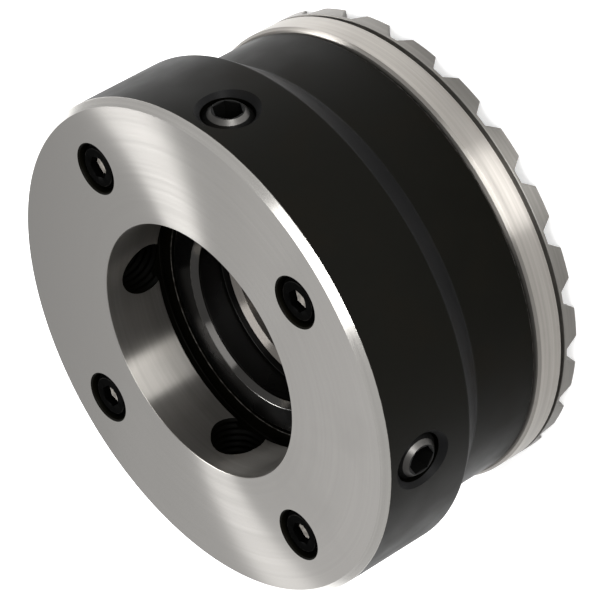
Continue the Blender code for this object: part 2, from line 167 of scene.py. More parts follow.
class RingSizes(bpy.types.PropertyGroup):
    """Sizes of the coupling ring and its crown of face teeth."""

    radius: length("Ring radius", RING_HIGH.x, "Outer radius of the ring")
    bore_radius: length("Bore radius", 0.0206, "Radius of the ring's bore")
    recess_radius: length("Recess radius", 0.0418, "Radius of the recess inside the crown")
    recess_height: length("Recess height", 0.0032, "Height of its floor over the tooth tips")
    top: length("Top", RING_HIGH.z, "Height of the face that meets the body")
    chamfer: length("Chamfer", 0.0005, "Chamfer of the ring's upper edge")
    groove_depth: length("Groove depth", 0.0015, "Depth of the turned groove")
    groove_top: length("Groove top", 0.0040, "Upper wall of the turned groove")
    rim_top: length("Rim top", 0.0031, "Lower wall of the turned groove")
    tooth_count: IntProperty(name="Teeth", description="Number of face teeth", default=24, min=3)
    tooth_height: length("Tooth height", 0.0024, "Height of the face teeth")
    gap_mouth: length("Gap mouth", 0.0062, "Width of a gap at the tips, at the outer radius")
    gap_root: length("Gap root", 0.0026, "Width of a gap at its root, at the outer radius")
    corner: length("Tooth corner", 0.00016, "Rounding of the teeth's corners")


class ScrewSizes(bpy.types.PropertyGroup):
    """Sizes of screws, dowels and their holes."""

    circle_radius: length("Screw circle", 0.0381, "Radius of the circle of screws and dowels")
    head_radius: length("Head radius", 0.00425, "Radius of a face screw's head")
    head_height: length("Head height", 0.0050, "Height of a face screw's head")
    head_sink: length("Head sink", 0.0006, "How far a head lies below the front face")
    shank_radius: length("Shank radius", 0.0024, "Radius of a face screw's shank")
    edge: length("Edge", 0.0005, "Chamfer of the screws' heads and tips")
    tip_height: length("Tip height", 0.0037, "Height of the face screws' tips")
    bore_radius: length("Counterbore radius", 0.0049, "Radius of the counterbores")
    bore_floor: length("Counterbore floor", 0.0451, "Height of the counterbores' floor")
    hole_radius: length("Clearance radius", 0.0028, "Radius of the through holes")
    tapped_radius: length("Tapped radius", 0.0027, "Radius of the ring's tapped holes")
    face_pitch: length("Face screw pitch", 0.0008, "Thread pitch of the face screws")
    face_thread: length("Face thread depth", 0.00025, "Depth of the face screws' threads")
    face_key: length("Face key size", 0.0040, "Width across the flats of a face screw's socket")
    face_socket: length("Face socket depth", 0.0016, "Depth of the face screws' sockets")
    radial_key: length("Radial key size", 0.0050, "Width across the flats of a radial socket")
    radial_radius: length("Radial screw radius", 0.0047, "Radius of a radial screw")
    radial_face: length("Radial screw face", 0.00305, "Radius of the flat end round its socket")
    radial_bare: length("Bare chamfer", 0.0008, "Reach of the bright part of its chamfer")
    radial_length: length("Radial screw length", 0.0160, "Length of a radial screw")
    radial_outer: length("Radial screw end", 0.0497, "Distance from the axis to its outer end")
    radial_height: length("Radial screw height", 0.0420, "Height of the radial screws' axes")
    radial_pitch: length("Radial screw pitch", 0.0015, "Thread pitch of the radial screws")
    radial_thread: length("Radial thread depth", 0.00055, "Depth of the radial screws' threads")
    hole_thread: length("Hole thread depth", 0.00045, "Depth of the radial holes' threads")
    radial_socket: length("Radial socket depth", 0.0050, "Depth of the radial screws' sockets")
    radial_hole: length("Radial hole radius", 0.0050, "Radius of the radial tapped holes")
    countersink: length("Countersink", 0.0012, "Countersink of the radial holes")
    tip_bore: length("Tip bore", 0.0023, "Radius of the bore in a radial screw's tip")
    tip_depth: length("Tip bore depth", 0.0022, "Depth of the bore in a radial screw's tip")
    pad_stem: length("Pad stem", 0.0020, "Radius of the stem that holds a pad in its screw")
    pad_radius: length("Pad radius", 0.0032, "Radius of the soft pad in a radial screw's tip")
    dowel_radius: length("Dowel radius", 0.0025, "Radius of the dowels")
    dowel_hole: length("Dowel hole radius", 0.0028, "Radius of the dowels' holes")
    dowel_depth: length("Dowel hole depth", 0.0063, "Depth of the dowels' holes in the body")
    pin_depth: length("Pin hole depth", 0.0033, "Depth of the pin's hole over the seat flange")
    pin_radius: length("Pin radius", 0.0010, "Radius of the sleeve's pin")
    pin_circle: length("Pin circle", 0.0264, "Distance from the axis to the sleeve's pin")


class Finishes(bpy.types.PropertyGroup):
    """Colours and roughness of the finishes."""

    oxide: colour("Black oxide", (0.0015, 0.0014, 0.0008), "Blackened steel of the body")
    oxide_worn: colour("Worn edge", (0.075, 0.070, 0.064), "Steel where an edge is rubbed")
    # Painted sheen: a lighter black than the body's, standing in for the light that the cone and
    # the countersinks catch.
    cone: colour("Cone", (0.0040, 0.0040, 0.0041), "Blackened cone and countersinks")
    bare: colour("Bare steel", (0.062, 0.060, 0.057), "Turned chamfers of the radial screws")
    screw_black: colour("Screw black", (0.0018, 0.0018, 0.0017), "Blackened steel of the screws")
    steel: colour("Ground steel", (0.485, 0.469, 0.446), "Ground front face")
    chamfer: colour("Chamfer steel", (0.44, 0.427, 0.405), "Turned chamfer round the front face")
    band: colour("Band steel", (0.305, 0.288, 0.266), "Turned steel of the coupling ring")
    crown: colour("Crown steel", (0.165, 0.158, 0.147), "Milled crown of face teeth")
    land: colour("Land steel", (0.27, 0.258, 0.240), "Ground land in the front socket")
    lip: colour("Lip steel", (0.046, 0.0445, 0.0425), "Turned lip of the sleeve")
    polished: colour("Polished steel", (0.185, 0.172, 0.158), "Ground seat of the sleeve")
    bronze: colour("Bronze", (0.42, 0.26, 0.11), "Soft pads in the radial screws")
    rubber: colour("Rubber", (0.012, 0.012, 0.012), "Seals")
    # Painted highlight: the face screws' socket floors take this pale colour, light that their
    # shaded pits lack, on top of key wear.
    socket_floor: colour("Socket floor", (0.60, 0.56, 0.51), "Steel that the key has rubbed bright")
    oxide_roughness: share("Oxide roughness", 0.42, "Roughness of the blackened steel")
    face_roughness: share("Face roughness", 0.165, "Roughness of the ground front face")
    band_roughness: share("Band roughness", 0.36, "Roughness of the turned ring")
    # Painted shade: how much darker the ground face is painted on one side.
    face_painted_shade: share("Face fade", 0.43, "How much duller the ground face is on one side")
    lay_turn: angle("Lay turn", -40.0, "Turn of the grinding lay over one flange radius")


class StageSettings(bpy.types.PropertyGroup):
    """Camera, lamps and floor."""

    lens: FloatProperty(name="Lens", description="Focal length in mm", default=234.6, min=20.0)
    camera_distance: length("Camera distance", 0.7119, "Distance from the front face's centre")
    camera_azimuth: angle("Camera azimuth", 1.5, "Turn of the camera about the adapter's axis")
    camera_elevation: angle("Camera elevation", 31.56, "Camera's height over the floor")
    camera_roll: angle("Camera roll", -119.77, "Turn of the camera about its line of sight")
    aim_right: length("Aim right", 0.01871, "Shift of the camera to its right")
    aim_up: length("Aim up", 0.00949, "Shift of the camera upwards")
    floor_colour: colour("Floor", (0.88, 0.88, 0.88), "Colour of the floor")
    sky_strength: share("Sky strength", 0.80, "Strength of the even light from all round", 5.0)
    lamp_scale: share("Lamp scale", 1.0, "Factor on the strength of all lamps", 5.0)


# Node trees


class Nodes:
    """A node tree, with short calls for the nodes that the adapter's trees are made of."""

    def __init__(self, tree):
        self.tree = tree

    def add(self, kind, values=None, output=0, **settings):
        """Add a node with its settings, set or link its inputs, and return one output."""
        node = self.tree.nodes.new(kind)
        for key, value in settings.items():
            setattr(node, key, value)
        for key, value in (values or {}).items():
            if isinstance(value, bpy.types.NodeSocket):
                self.tree.links.new(value, node.inputs[key])
            else:
                node.inputs[key].default_value = value
        return node.outputs[output] if node.outputs else None

    def maths(self, operation, *values):
        """Add a Math node."""
        return self.add("ShaderNodeMath", dict(enumerate(values)), operation=operation)

    def product(self, first, *others):
        """Multiply values."""
        for other in others:
            first = self.maths("MULTIPLY", first, other)
        return first

    def remap(self, value, low, high, start=0.0, end=1.0):
        """Map a value from one range to another, held within it."""
        values = {"Value": value, "From Min": low, "From Max": high, "To Min": start, "To Max": end}
        return self.add("ShaderNodeMapRange", values, "Result")

    def vector(self, x=0.0, y=0.0, z=0.0):
        """Join three values to a vector."""
        return self.add("ShaderNodeCombineXYZ", {"X": x, "Y": y, "Z": z})

    def vector_maths(self, operation, values, output="Vector"):
        """Add a Vector Math node."""
        return self.add("ShaderNodeVectorMath", values, output, operation=operation)

    def about_axis(self, place=None):
        """Split a place into its level part, radius, angle about the axis, and height."""
        place = place or self.add("GeometryNodeInputPosition")
        x, y, z = self.add("ShaderNodeSeparateXYZ", {0: place}).node.outputs
        level = self.vector(x, y)
        radius = self.vector_maths("LENGTH", {0: level}, "Value")
        return level, radius, self.maths("ARCTAN2", y, x), z

    def move(self, geometry, chosen, offset):
        """Move the chosen points of a mesh."""
        values = {"Geometry": geometry, "Selection": chosen, "Offset": offset}
        return self.add("GeometryNodeSetPosition", values)

    def object_place(self):
        """Return a surface's object coordinates."""
        return self.add("ShaderNodeTexCoord", output="Object")

    def attribute(self, name):
        """Read a value that is stored on the mesh."""
        return self.add("ShaderNodeAttribute", output="Fac", attribute_name=name)

    def noise(self, place, scale, detail):
        """Add a noise of a scale and detail."""
        return self.add("ShaderNodeTexNoise", {"Vector": place, "Scale": scale, "Detail": detail})

    def rings(self, about, fine, stretch, detail=3.0):
        """Noise that runs in rings about the axis, fine across them and stretched along them."""
        _, radius, turn, height = about
        along = self.product(self.maths("COSINE", turn), stretch)
        place = self.vector(self.product(radius, fine), self.product(height, fine), along)
        return self.noise(place, 1.0, detail)

    def mix(self, amount, first, second):
        """Mix two colours."""
        return self.add("ShaderNodeMix", {0: amount, 6: first, 7: second}, 2, data_type="RGBA")

    def shade(self, values, height=None, strength=0.0, distance=0.0):
        """End a material's tree in a Principled shader, with a bump where a height is given."""
        if height:
            bump = {"Height": height, "Strength": strength, "Distance": distance}
            values = {**values, "Normal": self.add("ShaderNodeBump", bump)}
        surface = self.add("ShaderNodeBsdfPrincipled", values)
        self.add("ShaderNodeOutputMaterial", {"Surface": surface})


def new_tree(name, inputs):
    """Return the nodes of a new geometry node tree, and its named inputs."""
    tree = bpy.data.node_groups.new(name, "GeometryNodeTree")
    face = tree.interface
    face.new_socket("Geometry", in_out="INPUT", socket_type="NodeSocketGeometry")
    for label, value in {**inputs, "Material": None}.items():
        kind = {float: "Float", int: "Int"}.get(type(value), "Material")
        socket = face.new_socket(label, in_out="INPUT", socket_type="NodeSocket" + kind)
        if value is not None:
            socket.default_value = value
    face.new_socket("Geometry", in_out="OUTPUT", socket_type="NodeSocketGeometry")
    nodes = Nodes(tree)
    return nodes, nodes.add("NodeGroupInput").node.outputs


def finish_tree(nodes, geometry, material, chosen=None, other=None):
    """End a tree in Realize Instances and Set Material, with another material on chosen faces."""
    real = nodes.add("GeometryNodeRealizeInstances", {"Geometry": geometry})
    painted = nodes.add("GeometryNodeSetMaterial", {"Geometry": real, "Material": material})
    if chosen:
        values = {"Geometry": painted, "Selection": chosen, "Material": other}
        painted = nodes.add("GeometryNodeSetMaterial", values)
    nodes.add("NodeGroupOutput", {"Geometry": painted})
    return nodes.tree


def use_tree(ob, tree, **values):
    """Put a node tree on an object, its inputs set by their sockets' identifiers."""
    modifier = ob.modifiers.new(tree.name, "NODES")
    modifier.node_group = tree
    for item in tree.interface.items_tree:
        key = item.name.lower().replace(" ", "_")
        if item.in_out == "INPUT" and key in values:
            modifier[item.identifier] = values[key]


def run_thread(ob, tree, pitch, depth, radius, lowest, highest, material, mouth=None):
    """Run a thread round a piece's wall, between two heights."""
    values = {"lowest": lowest, "highest": highest, "mouth_material": mouth or material}
    use_tree(ob, tree, pitch=pitch, depth=depth, wall_radius=radius, material=material, **values)


def thread_tree():
    """Thread: wall points move along their radius in a helix that fades out at both ends.

    Faces higher than the thread can have a finish of their own.
    """
    inputs = {"Pitch": 0.0015, "Depth": 0.0004, "Wall Radius": 0.005, "Lowest": -0.016}
    nodes, given = new_tree("helical_thread", {**inputs, "Highest": 0.0, "Mouth Material": None})
    pitch, lowest, highest = given["Pitch"], given["Lowest"], given["Highest"]
    level, radius, turn, height = nodes.about_axis()
    turns = nodes.maths("DIVIDE", turn, 2 * math.pi)
    phase = nodes.maths("SUBTRACT", nodes.maths("DIVIDE", height, pitch), turns)
    ridge = nodes.maths("PINGPONG", nodes.product(nodes.maths("FRACT", phase), 2.0), 1.0)
    shaped = nodes.remap(ridge, 0.15, 0.85)
    rising = nodes.remap(height, lowest, nodes.maths("ADD", lowest, pitch))
    falling = nodes.remap(height, nodes.maths("SUBTRACT", highest, pitch), highest, 1.0, 0.0)
    amount = nodes.product(shaped, given["Depth"], rising, falling)
    direction = nodes.vector_maths("NORMALIZE", {0: level})
    offset = nodes.vector_maths("SCALE", {0: direction, "Scale": amount})
    wall = nodes.maths("SUBTRACT", given["Wall Radius"], 0.00002)
    on_wall = nodes.maths("GREATER_THAN", radius, wall)
    moved = nodes.move(given["Geometry"], on_wall, offset)
    mouth = nodes.maths("GREATER_THAN", height, highest)
    return finish_tree(nodes, moved, given["Material"], mouth, given["Mouth Material"])


def socket_tree():
    """Hexagon socket: a six-sided pit with a chamfered mouth and a shallow pointed floor.

    Its floor and the lower part of its walls are marked for a colour of key wear, which on the face
    screws is a painted highlight.
    """
    nodes, given = new_tree("hexagon_socket", {"Key Size": 0.005, "Depth": 0.003, "Mouth": 0.0004})
    depth, bevel = given["Depth"], given["Mouth"]
    corner = nodes.product(given["Key Size"], 0.5 / math.cos(math.pi / 6))
    flat = nodes.product(given["Key Size"], 0.5)
    _, radius, _, height = nodes.about_axis()
    pit_height = nodes.maths("ADD", depth, OVERSHOOT)
    pit_size = {"Vertices": 6, "Radius": corner, "Depth": pit_height}
    pit = nodes.add("GeometryNodeMeshCylinder", pit_size, "Mesh", fill_type="TRIANGLE_FAN")
    middle = nodes.maths("LESS_THAN", radius, 0.00001)
    below = nodes.maths("LESS_THAN", height, 0.0)
    pit = nodes.move(pit, nodes.product(middle, below), (0.0, 0.0, -0.0007))
    pit_level = nodes.maths("SUBTRACT", OVERSHOOT, nodes.product(pit_height, 0.5))
    mouth_size = {
        "Vertices": 48,
        "Radius Top": nodes.maths("ADD", corner, bevel),
        "Radius Bottom": nodes.maths("SUBTRACT", flat, bevel),
        "Depth": nodes.product(bevel, 2.0),
    }
    mouth = nodes.add("GeometryNodeMeshCone", mouth_size, "Mesh")
    cut = given["Geometry"]
    for tool, level in ((pit, pit_level), (mouth, nodes.product(bevel, -1.0))):
        values = {"Geometry": tool, "Translation": nodes.vector(z=level)}
        values = {0: cut, 1: nodes.add("GeometryNodeTransform", values)}
        cut = nodes.add("GeometryNodeMeshBoolean", values, operation="DIFFERENCE", solver="EXACT")
    # Marks the floor and lower walls; the mark carries key wear, and on the face screws a painted
    # highlight.
    inside = nodes.maths("LESS_THAN", radius, nodes.product(corner, 0.92))
    depth_share = nodes.maths("DIVIDE", height, nodes.product(depth, -1.0))
    in_socket = nodes.maths("GREATER_THAN", depth_share, 0.35)
    over_floor = nodes.maths("GREATER_THAN", height, nodes.maths("SUBTRACT", -0.001, depth))
    amount = nodes.remap(depth_share, 0.4, 0.9, 0.30, 1.0)
    rubbed = nodes.product(inside, in_socket, over_floor, amount)
    values = {"Geometry": cut, "Name": "key_wear", "Value": rubbed}
    marked = nodes.add("GeometryNodeStoreNamedAttribute", values, data_type="FLOAT", domain="FACE")
    return finish_tree(nodes, marked, given["Material"])


def circle_tree():
    """Copies of a piece at even steps round the adapter's axis, tilted towards it or upright."""
    inputs = {"Count": 4, "Circle Radius": 0.038, "Height": 0.0, "First Angle": 0.0, "Tilt": 0.0}
    nodes, given = new_tree("round_the_axis", inputs)
    step = nodes.maths("DIVIDE", 2 * math.pi, given["Count"])
    turn = nodes.product(nodes.add("GeometryNodeInputIndex"), step)
    turn = nodes.maths("ADD", turn, given["First Angle"])
    across = nodes.product(nodes.maths("COSINE", turn), given["Circle Radius"])
    along = nodes.product(nodes.maths("SINE", turn), given["Circle Radius"])
    place = nodes.vector(across, along, given["Height"])
    points = nodes.add("GeometryNodePoints", {"Count": given["Count"], "Position": place})
    facing = nodes.vector(y=given["Tilt"], z=turn)
    values = {"Points": points, "Instance": given["Geometry"], "Rotation": facing}
    copies = nodes.add("GeometryNodeInstanceOnPoints", values)
    return finish_tree(nodes, copies, given["Material"])


def teeth_tree():
    """Crown of face teeth: the gaps between them are pressed up into a ring's lower edge."""
    inputs = {
        "Teeth": 24,
        "Tooth Height": 0.0024,
        "Gap Mouth": 0.0062,
        "Gap Root": 0.0026,
        "Outer Radius": 0.0465,
        "Corner": 0.00015,
        "Crown Level": 0.0005,
        "Crown Height": 0.0031,
        "Crown Material": None,
    }
    nodes, given = new_tree("face_teeth", inputs)
    rise, corner = given["Tooth Height"], given["Corner"]
    _, _, turn, height = nodes.about_axis()
    turns = nodes.maths("DIVIDE", turn, 2 * math.pi)
    share_of_pitch = nodes.maths("PINGPONG", nodes.product(turns, given["Teeth"]), 0.5)
    round_length = nodes.product(given["Outer Radius"], 2 * math.pi)
    pitch = nodes.maths("DIVIDE", round_length, given["Teeth"])
    aside = nodes.product(share_of_pitch, pitch)
    mouth = nodes.product(given["Gap Mouth"], 0.5)
    root = nodes.product(given["Gap Root"], 0.5)
    slope = nodes.maths("DIVIDE", rise, nodes.maths("SUBTRACT", mouth, root))
    flank = nodes.product(nodes.maths("SUBTRACT", mouth, aside), slope)
    lower = nodes.maths("SMOOTH_MIN", flank, rise, corner)
    lift = nodes.maths("SMOOTH_MAX", lower, 0.0, corner)
    on_crown = nodes.maths("LESS_THAN", height, given["Crown Level"])
    moved = nodes.move(given["Geometry"], on_crown, nodes.vector(z=lift))
    crown = nodes.maths("LESS_THAN", height, given["Crown Height"])
    return finish_tree(nodes, moved, given["Material"], crown, given["Crown Material"])


# Turned sections


def rounded_corner(before, corner, after, radius, steps=4):
    """Return the points of an arc that rounds a corner between two lines."""
    back = before - corner
    ahead = after - corner
    reach = 0.45 * min(back.length, ahead.length)
    back.normalize()
    ahead.normalize()
    half = back.angle(ahead) / 2
    tangent = min(radius / math.tan(half), reach)
    fillet = tangent * math.tan(half)
    centre = corner + (back + ahead).normalized() * (fillet / math.sin(half))
    start = corner + back * tangent - centre
    sweep = start.angle_signed(corner + ahead * tangent - centre)
    return [centre + Matrix.Rotation(-sweep * i / steps, 2) @ start for i in range(steps + 1)]


def section(corners, closed, spacing):
    """Turn a list of (radius, height, rounding, finish, wear) into (point, wear, finish).

    A corner may leave out its last values. Corners are rounded, and the outer ones worn.
    Straight stretches get a support point near each end. Spacing, a step with a lowest and a
    highest height, splits stretches that lie along the axis where a thread runs.
    """
    corners = [(*corner, *PLAIN_CORNER[len(corner) - 2 :]) for corner in corners]
    count = len(corners)
    spots = [Vector(corner[:2]) for corner in corners]
    area = sum(a.x * b.y - b.x * a.y for a, b in zip(spots, spots[1:] + spots[:1]))
    made = []
    for i, (_, _, rounding, finish, rub) in enumerate(corners):
        before, here, after = spots[i - 1], spots[i], spots[(i + 1) % count]
        if rounding <= 0.0 or not (closed or 0 < i < count - 1):
            made.append([(here, 0.0, finish)])
            continue
        arc = rounded_corner(before, here, after, rounding)
        last = len(arc) - 1
        bend = (here - before).x * (after - here).y - (here - before).y * (after - here).x
        wear = rub if bend * area > 0 else 0.0
        made.append(
            [
                (point, wear * (0 < j < last), finish if 2 * j >= last else corners[i - 1][3])
                for j, point in enumerate(arc)
            ]
        )
    points = []
    for i, group in enumerate(made):
        points.extend(group)
        if not closed and i == count - 1:
            break
        start = group[-1][0]
        run = made[(i + 1) % count][0][0] - start
        if run.length < LONG_STRETCH:
            continue
        margin = SUPPORT / run.length
        shares = [margin, 1 - margin]
        if spacing and abs(run.x) < 0.00001 and run.length > 4 * spacing[0]:
            step, lowest, highest = spacing
            pieces = math.ceil(run.length / step)
            heights = [start.y + run.y * j / pieces for j in range(1, pieces)]
            threaded = [y for y in heights if lowest - step < y < highest + step]
            shares = [(y - start.y) / run.y for y in threaded] or shares
        points.extend((start + run * part, 0.0, corners[i][3]) for part in shares)
    return points


def lathe(name, corners, angles, materials, spacing=None):
    """Turn a section about Z, at a number of even steps or at the angles given.

    A section that starts on the axis also ends there. Spacing is that of a thread.
    """
    closed = corners[0][0] > 0.0
    points = section(corners, closed, spacing)
    if isinstance(angles, int):
        angles = [2 * math.pi * i / angles for i in range(angles)]
    bm = bmesh.new()
    wear = bm.verts.layers.float.new("wear")
    bare = bm.faces.layers.float.new("bare")
    columns = []
    for point, rubbed, _ in points:
        column = []
        for turn in angles if point.x > 0.0 else angles[:1]:
            vert = bm.verts.new((point.x * math.cos(turn), point.x * math.sin(turn), point.y))
            vert[wear] = rubbed
            column.append(vert)
        columns.append(column)
    for i, near in enumerate(columns if closed else columns[:-1]):
        far = columns[(i + 1) % len(points)]
        for j in range(len(angles)):
            k = (j + 1) % len(angles)
            if len(near) == 1:
                outline = (near[0], far[j], far[k])
            elif len(far) == 1:
                outline = (near[j], far[0], near[k])
            else:
                outline = (near[j], far[j], far[k], near[k])
            face = bm.faces.new(outline)
            face.material_index = points[i][2]
            face[bare] = float(points[i][2] == BROKEN)
            face.smooth = True
    if bm.calc_volume(signed=True) < 0:
        bmesh.ops.reverse_faces(bm, faces=bm.faces)
    return new_object(name, bm, materials)


def new_object(name, bm, materials=()):
    """Return a new object in the scene with a finished mesh and its materials."""
    mesh = bpy.data.meshes.new(name)
    bm.to_mesh(mesh)
    bm.free()
    for material in materials:
        mesh.materials.append(material)
    ob = bpy.data.objects.new(name, mesh)
    bpy.context.scene.collection.objects.link(ob)
    return ob


def plain(ob, sharp=32):
    """Replace an object's mesh with its evaluated one and drop its modifiers."""
    depsgraph = bpy.context.evaluated_depsgraph_get()
    mesh = bpy.data.meshes.new_from_object(ob.evaluated_get(depsgraph))
    if not mesh.polygons:
        raise RuntimeError(f"{ob.name} came out empty")
    ob.modifiers.clear()
    ob.data = mesh
    mesh.set_sharp_from_angle(angle=math.radians(sharp))
    return ob


def cut_holes(ob, cutters):
    """Cut all holes with one Boolean, from cutters given as (object, matrices).

    Only the piece's own corners keep their wear.
    """
    wear = ob.data.attributes["wear"].data
    rubbed = {v.co.to_tuple(6): wear[v.index].value for v in ob.data.vertices}
    joined = bmesh.new()
    materials = []
    for cutter, places in cutters:
        mesh = plain(cutter).data
        materials.extend(material for material in mesh.materials if material not in materials)
        for place in places:
            copy = mesh.copy()
            copy.transform(place)
            for polygon in copy.polygons:
                polygon.material_index = materials.index(mesh.materials[polygon.material_index])
            joined.from_mesh(copy)
            bpy.data.meshes.remove(copy)
        bpy.data.objects.remove(cutter, do_unlink=True)
    for face in joined.faces:
        face.smooth = True
    tool = new_object("holes", joined, materials)
    boolean = ob.modifiers.new("holes", "BOOLEAN")
    boolean.operation = "DIFFERENCE"
    boolean.solver = "EXACT"
    boolean.material_mode = "TRANSFER"
    boolean.object = tool
    plain(ob)
    wear = ob.data.attributes["wear"].data
    for v in ob.data.vertices:
        wear[v.index].value = rubbed.get(v.co.to_tuple(6), 0.0)
    bpy.data.objects.remove(tool, do_unlink=True)


def bore(name, radius, top, base, finishes):
    """Cutter for a plain hole, from a height down past the base."""
    low = base - OVERSHOOT
    corners = [(0.0, top), (radius, top, 0.0), (radius, low, 0.0), (0.0, low)]
    return lathe(name, corners, 48, finishes)


def upright(radius, turn, height=0.0):
    """Place on a circle about the axis, standing upright."""
    return Matrix.Rotation(turn, 4, "Z") @ Matrix.Translation((radius, 0.0, height))


def outwards(radius, turn, height):
    """Place with its own Z axis outwards along a radius."""
    return upright(radius, turn, height) @ Matrix.Rotation(math.pi / 2, 4, "Y")


def quarter_turns(first=0.0):
    """Four angles at quarter turns."""
    return [first + math.pi / 2 * i for i in range(4)]


def screw_places(radius):
    """Places of the four face screws on their circle."""
    return [upright(radius, turn) for turn in quarter_turns()]


def dowel_places(radius):
    """Places of the two dowels on their circle."""
    return [upright(radius, math.pi / 4), upright(radius, math.pi * 5 / 4)]


# Finishes


def new_material(name):
    """Return a new material and the nodes of its empty tree."""
    material = bpy.data.materials.new(name)
    material.use_nodes = True
    material.node_tree.nodes.clear()
    return material, Nodes(material.node_tree)


def shades(tint, *shares):
    """Return shares of a tint as colours with alpha."""
    return [(*[min(channel * part, 1.0) for channel in tint], 1.0) for part in shares]


def darker(tint, part):
    """Return a share of a tint without alpha."""
    return shades(tint, part)[0][:3]


def black_oxide(name, tint, worn, roughness, level=0.032, key_and_highlight_colour=(0.6, 0.56, 0.51), bare=None):
    """Blackened steel: cloudy sheen, fine turning marks, rubbed edges, and worn socket floors that
    a pale keyed colour turns into a painted highlight.

    A bare colour is that of faces turned bright after the blackening.
    """
    material, nodes = new_material(name)
    place = nodes.object_place()
    clouds = nodes.noise(place, 90.0, 5.0)
    specks = nodes.noise(place, 900.0, 3.0)
    marks = nodes.rings(nodes.about_axis(place), 2600.0, 2.0)
    dark, light = shades(tint, 0.75, 1.35)
    brown = (tint[0] * 1.5, tint[1] * 1.15, tint[2] * 0.85, 1.0)
    base = nodes.mix(clouds, dark, light)
    base = nodes.mix(nodes.remap(clouds, 0.52, 0.70, 0.0, 0.5), base, brown)
    rubbed = nodes.product(nodes.attribute("wear"), nodes.remap(specks, 0.42, 0.62, 0.15, 0.9))
    base = nodes.mix(rubbed, base, (*worn, 1.0))
    # Key wear in the sockets; with a pale keyed colour it is a painted highlight on the floors.
    key = nodes.product(nodes.attribute("key_wear"), nodes.remap(specks, 0.35, 0.60, 0.55, 1.0))
    values = {
        "Base Color": nodes.mix(key, base, (*key_and_highlight_colour, 1.0)),
        "Roughness": nodes.remap(clouds, 0.3, 0.7, roughness - 0.05, roughness + 0.08),
        "Specular IOR Level": level,
    }
    if bare:
        turned = nodes.attribute("bare")
        values["Base Color"] = nodes.mix(turned, values["Base Color"], (*bare, 1.0))
        values["Metallic"] = turned
    relief = nodes.maths("ADD", nodes.product(marks, 0.7), nodes.product(specks, 0.5))
    nodes.shade(values, relief, 0.25, 0.00002)
    return material


def turned_steel(name, tint, roughness, anisotropic, streaks, lay_turn=0.0, fade=0.0, reach=0.05):
    """Bright steel with a lay of fine rings that stretches highlights across it.

    The lay turns with the radius, and the colour darkens towards one side of the reach as a painted
    shade.
    """
    material, nodes = new_material(name)
    place = nodes.object_place()
    about = nodes.about_axis(place)
    level, radius, _, _ = about
    rings = nodes.rings(about, 1500.0, 1.5, 4.0)
    fine = nodes.rings(about, 9000.0, 3.0, 2.0)
    clouds = nodes.noise(place, 60.0, 4.0)
    dark, light, dull, painted_shade_tone = shades(tint, 1.0 - streaks, 1.0 + streaks, 0.88, 1.0 - fade)
    base = nodes.mix(nodes.remap(rings, 0.35, 0.65), dark, light)
    base = nodes.mix(nodes.remap(clouds, 0.50, 0.75, 0.0, 0.6), base, dull)
    # Painted shade: the base colour darkens towards one side, standing in for a dimmer reflection
    # of the face there.
    if fade:
        side = (math.cos(PAINTED_SHADE_SIDE), math.sin(PAINTED_SHADE_SIDE), 0.0)
        along = nodes.vector_maths("DOT_PRODUCT", {0: place, 1: side}, "Value")
        base = nodes.mix(nodes.remap(along, -reach, reach), base, painted_shade_tone)
    normal = nodes.add("ShaderNodeNewGeometry", output="Normal")
    around = nodes.vector_maths("CROSS_PRODUCT", {0: (0.0, 0.0, 1.0), 1: level})
    across = nodes.vector_maths("CROSS_PRODUCT", {0: normal, 1: around})
    twist = nodes.maths("MULTIPLY_ADD", radius, lay_turn / reach, -LAY_START * lay_turn)
    tangent = {"Vector": across, "Axis": normal, "Angle": twist}
    uneven = 0.25 * streaks
    values = {
        "Base Color": base,
        "Roughness": nodes.remap(rings, 0.3, 0.7, roughness - uneven, roughness + uneven),
        "Metallic": 1.0,
        "Anisotropic": anisotropic,
        "Tangent": nodes.add("ShaderNodeVectorRotate", tangent),
    }
    nodes.shade(values, nodes.maths("ADD", rings, fine), min(1.0, streaks), 0.00001)
    return material


def soft_metal(name, tint, roughness):
    """Turned soft metal with a mottled sheen."""
    material, nodes = new_material(name)
    clouds = nodes.noise(nodes.object_place(), 500.0, 5.0)
    values = {
        "Base Color": nodes.mix(clouds, *shades(tint, 0.75, 1.2)),
        "Roughness": nodes.remap(clouds, 0.3, 0.7, roughness - 0.06, roughness + 0.08),
        "Metallic": 1.0,
    }
    nodes.shade(values, clouds, 0.15, 0.00002)
    return material


def dull_rubber(name, tint, roughness):
    """Moulded rubber with a fine, soft grain."""
    material, nodes = new_material(name)
    grain = nodes.noise(nodes.object_place(), 2500.0, 2.0)
    values = {"Base Color": nodes.mix(grain, *shades(tint, 0.8, 1.4)), "Roughness": roughness}
    nodes.shade(values, grain, 0.2, 0.00002)
    return material


